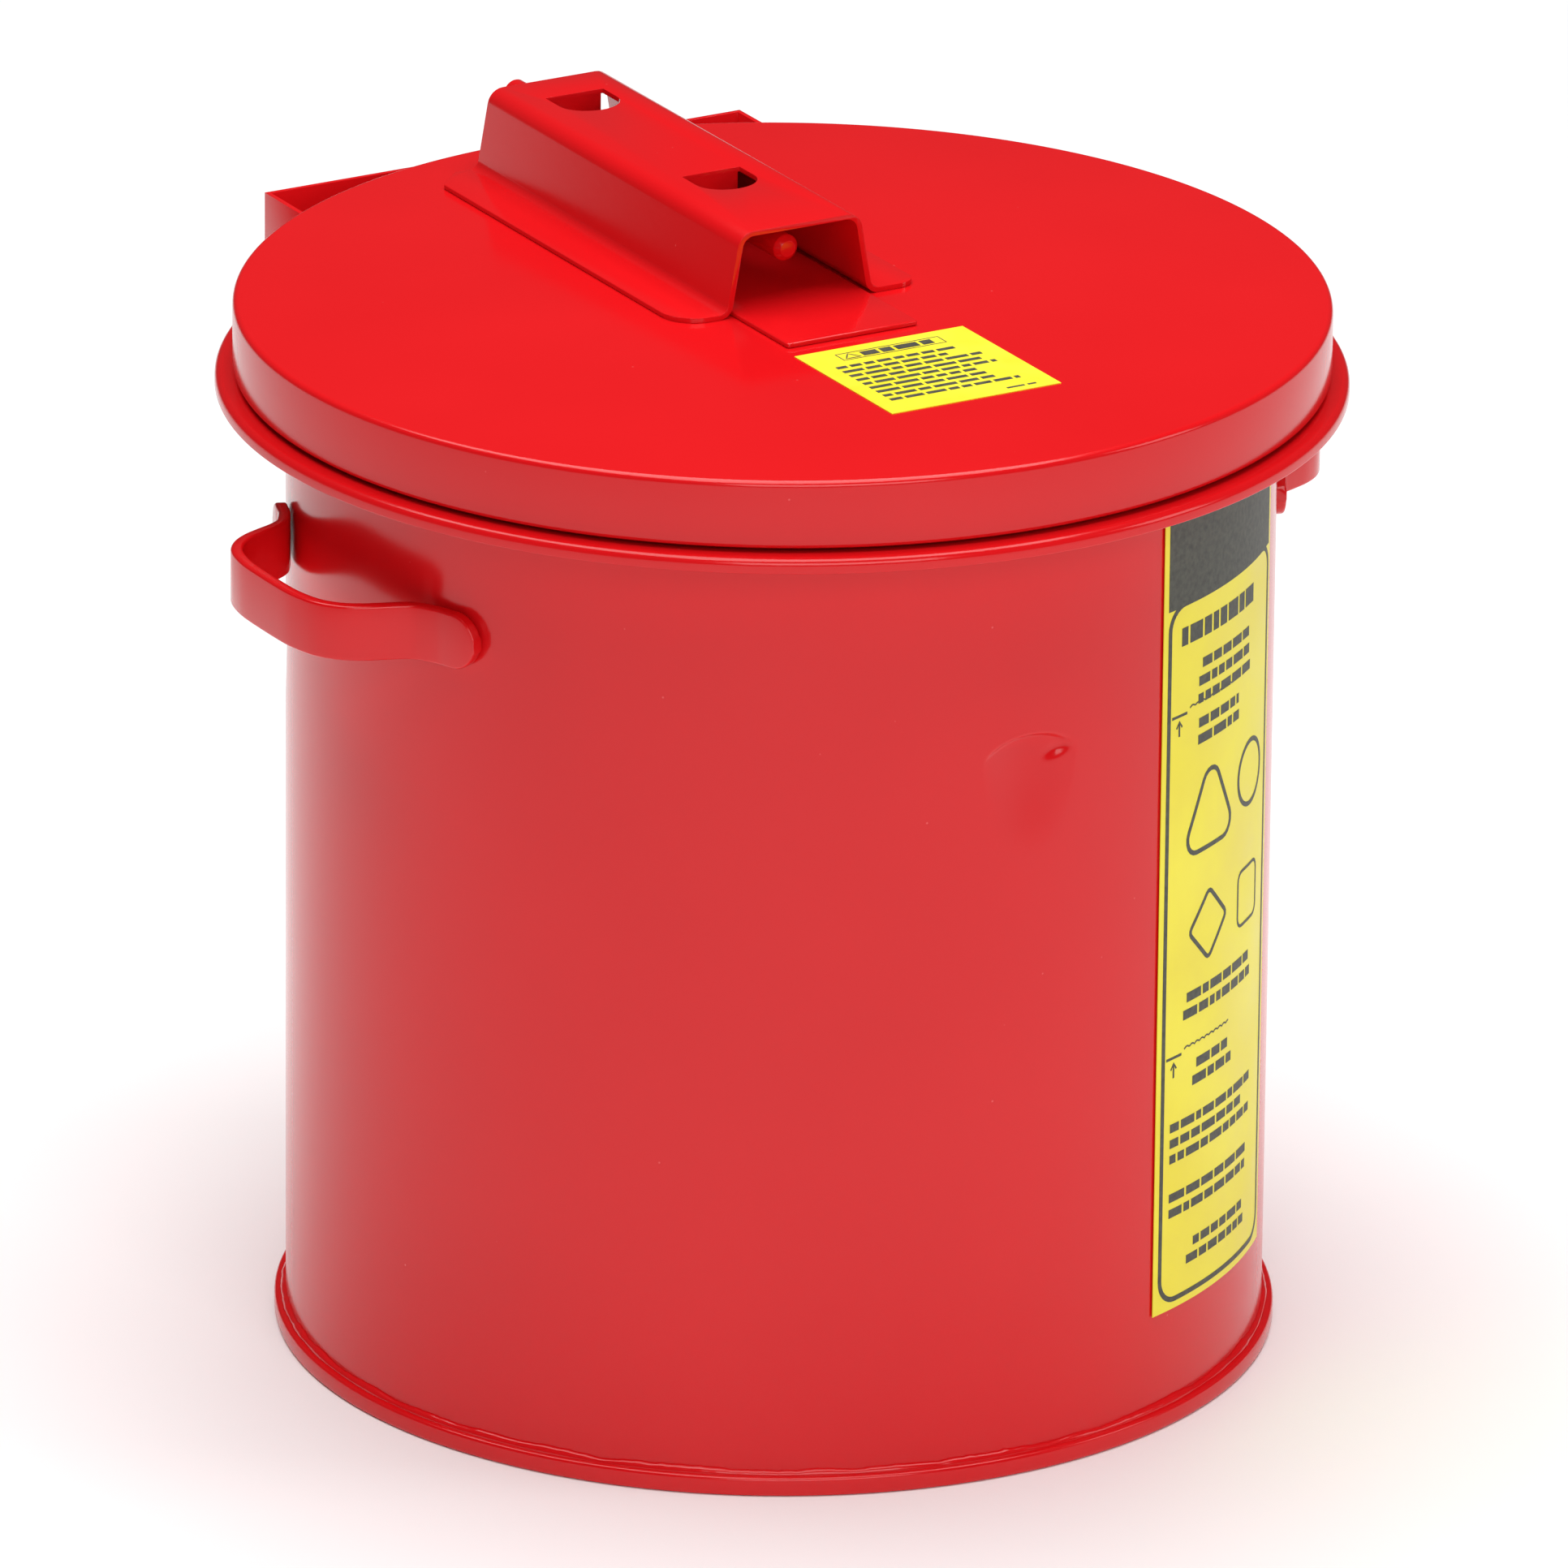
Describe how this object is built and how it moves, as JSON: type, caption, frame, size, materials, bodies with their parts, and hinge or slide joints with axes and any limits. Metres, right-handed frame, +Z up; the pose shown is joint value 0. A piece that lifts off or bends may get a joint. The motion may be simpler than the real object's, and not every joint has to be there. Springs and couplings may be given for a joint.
{
  "type": "parts washer tank",
  "caption": "Small round steel parts washer tank with a hinged lid, a lid rod with a fusible sleeve, carrying handles and a lift-out drain basket.",
  "frame": {"origin": "centre of the tank's base, on the surface it stands on", "axes": "+Z up, -Y front, +Y rear where the lid hinges, +X right"},
  "size_m": [0.2828, 0.2736, 0.2812],
  "materials": {
    "enamel": "gloss",
    "steel": "satin",
    "zinc": "satin",
    "brass": "satin",
    "label": "semi-gloss"
  },
  "bodies": {
    "tank": {"tank_wall": "enamel", "bottom_pan": "enamel", "rim_flange": "enamel", "hinge_bracket": "enamel", "hinge_pin": "steel", "handle_left": "enamel", "handle_right": "enamel", "body_label": "label"},
    "lid": {"lid_cover": "enamel", "lid_channel": "enamel", "lid_strap": "enamel", "hinge_leaf": "enamel", "lid_label": "label"},
    "rod": {"slide_rod_front": "enamel", "slide_rod_rear": "enamel", "fusible_sleeve": "brass"},
    "basket": {"drain_basket": "zinc", "basket_rim": "zinc", "basket_lug_1": "zinc", "basket_lug_2": "zinc", "basket_lug_3": "zinc", "basket_foot_1": "zinc", "basket_foot_2": "zinc", "basket_foot_3": "zinc", "bail_ear_left": "zinc", "bail_ear_right": "zinc", "ear_rivet_1": "steel", "ear_rivet_2": "steel", "ear_rivet_3": "steel", "ear_rivet_4": "steel"},
    "bail": {"bail_handle": "steel"}
  },
  "joints": [
    {"name": "lid_hinge", "type": "hinge", "parent": "tank", "child": "lid", "pos_m": [0, 0.1349, 0.2525], "axis": [-1, 0, 0], "range_deg": [0, 80]},
    {"name": "rod_slide", "type": "slide", "parent": "lid", "child": "rod", "axis": [0, 1, 0], "range_m": [0, 0.03]},
    {"name": "basket_lift", "type": "slide", "parent": "tank", "child": "basket", "axis": [0, 0, 1], "range_m": [0, 0.092]},
    {"name": "bail_pivot", "type": "hinge", "parent": "basket", "child": "bail", "pos_m": [0, 0, 0.1045], "axis": [-1, 0, 0], "range_deg": [0, 90]}
  ]
}
